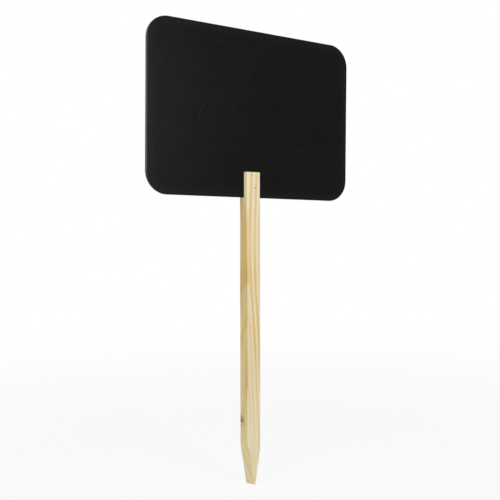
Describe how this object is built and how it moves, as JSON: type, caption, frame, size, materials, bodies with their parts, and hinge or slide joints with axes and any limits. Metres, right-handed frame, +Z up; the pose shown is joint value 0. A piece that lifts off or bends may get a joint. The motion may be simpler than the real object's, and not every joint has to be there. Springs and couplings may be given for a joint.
{
  "type": "plant label stake",
  "caption": "Black writing board with round corners, its lower edge pushed into a saw kerf in the top of a pointed pine stake that is driven into soil.",
  "frame": {"origin": "on the stake's axis at the level of its chisel tip, the end that is pushed into the soil", "axes": "+Z up along the stake, -Y out of the board's front, +X to the right seen from the front"},
  "size_m": [0.2984, 0.016, 0.5761],
  "materials": {
    "pine": "planed, untreated",
    "blackboard": "fibreboard in matt black writing lacquer"
  },
  "bodies": {
    "stake": {"stake": "pine"},
    "board": {"board": "blackboard"}
  },
  "joints": [
    {"name": "board_lift", "type": "slide", "parent": "stake", "child": "board", "axis": [0, 0, 1], "range_m": [0, 0.04]}
  ]
}
